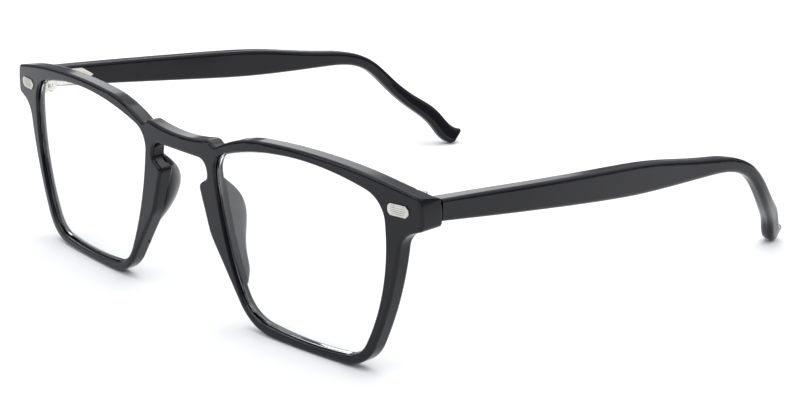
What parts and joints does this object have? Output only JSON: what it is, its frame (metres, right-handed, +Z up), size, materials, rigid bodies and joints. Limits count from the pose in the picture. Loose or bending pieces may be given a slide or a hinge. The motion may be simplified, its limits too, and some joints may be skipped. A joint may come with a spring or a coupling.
{
  "type": "eyeglasses frame",
  "caption": "Full-rim acetate eyeglasses frame with a keyhole bridge, folding temples on riveted knuckle hinges, small metal end plaques and clear demo lenses.",
  "frame": {"origin": "bottom centre of the bounding box, on the surface that the open frame stands on", "axes": "+X to the wearer's left, +Y from the front back to the temple tips, +Z up"},
  "size_m": [0.1398, 0.139, 0.0433],
  "materials": {
    "acetate": "polished black cellulose acetate",
    "lens": "clear plastic demo lens, uncoated",
    "trim_metal": "silver-coloured plaque with fine horizontal grooves",
    "hinge_metal": "pale nickel silver, lightly tumbled",
    "screw_steel": "plain stainless steel"
  },
  "bodies": {
    "front": {"frame_front": "acetate", "left_lens": "lens", "right_lens": "lens", "left_nose_pad": "acetate", "right_nose_pad": "acetate", "left_plaque": "trim_metal", "right_plaque": "trim_metal", "left_front_hinge": "hinge_metal", "right_front_hinge": "hinge_metal", "left_hinge_screw": "screw_steel", "right_hinge_screw": "screw_steel"},
    "left_temple_arm": {"left_temple": "acetate", "left_core_wire": "screw_steel", "left_temple_hinge": "hinge_metal", "left_temple_rivets": "hinge_metal"},
    "right_temple_arm": {"right_temple": "acetate", "right_core_wire": "screw_steel", "right_temple_hinge": "hinge_metal", "right_temple_rivets": "hinge_metal"}
  },
  "joints": [
    {"name": "left_temple_fold", "type": "hinge", "parent": "front", "child": "left_temple_arm", "pos_m": [0.0636, -0.05771, 0.03622], "axis": [0, -0.0351, 0.9994], "range_deg": [0, 86]},
    {"name": "right_temple_fold", "type": "hinge", "parent": "front", "child": "right_temple_arm", "pos_m": [-0.0636, -0.05771, 0.03622], "axis": [0, 0.0351, -0.9994], "range_deg": [0, 79]}
  ]
}
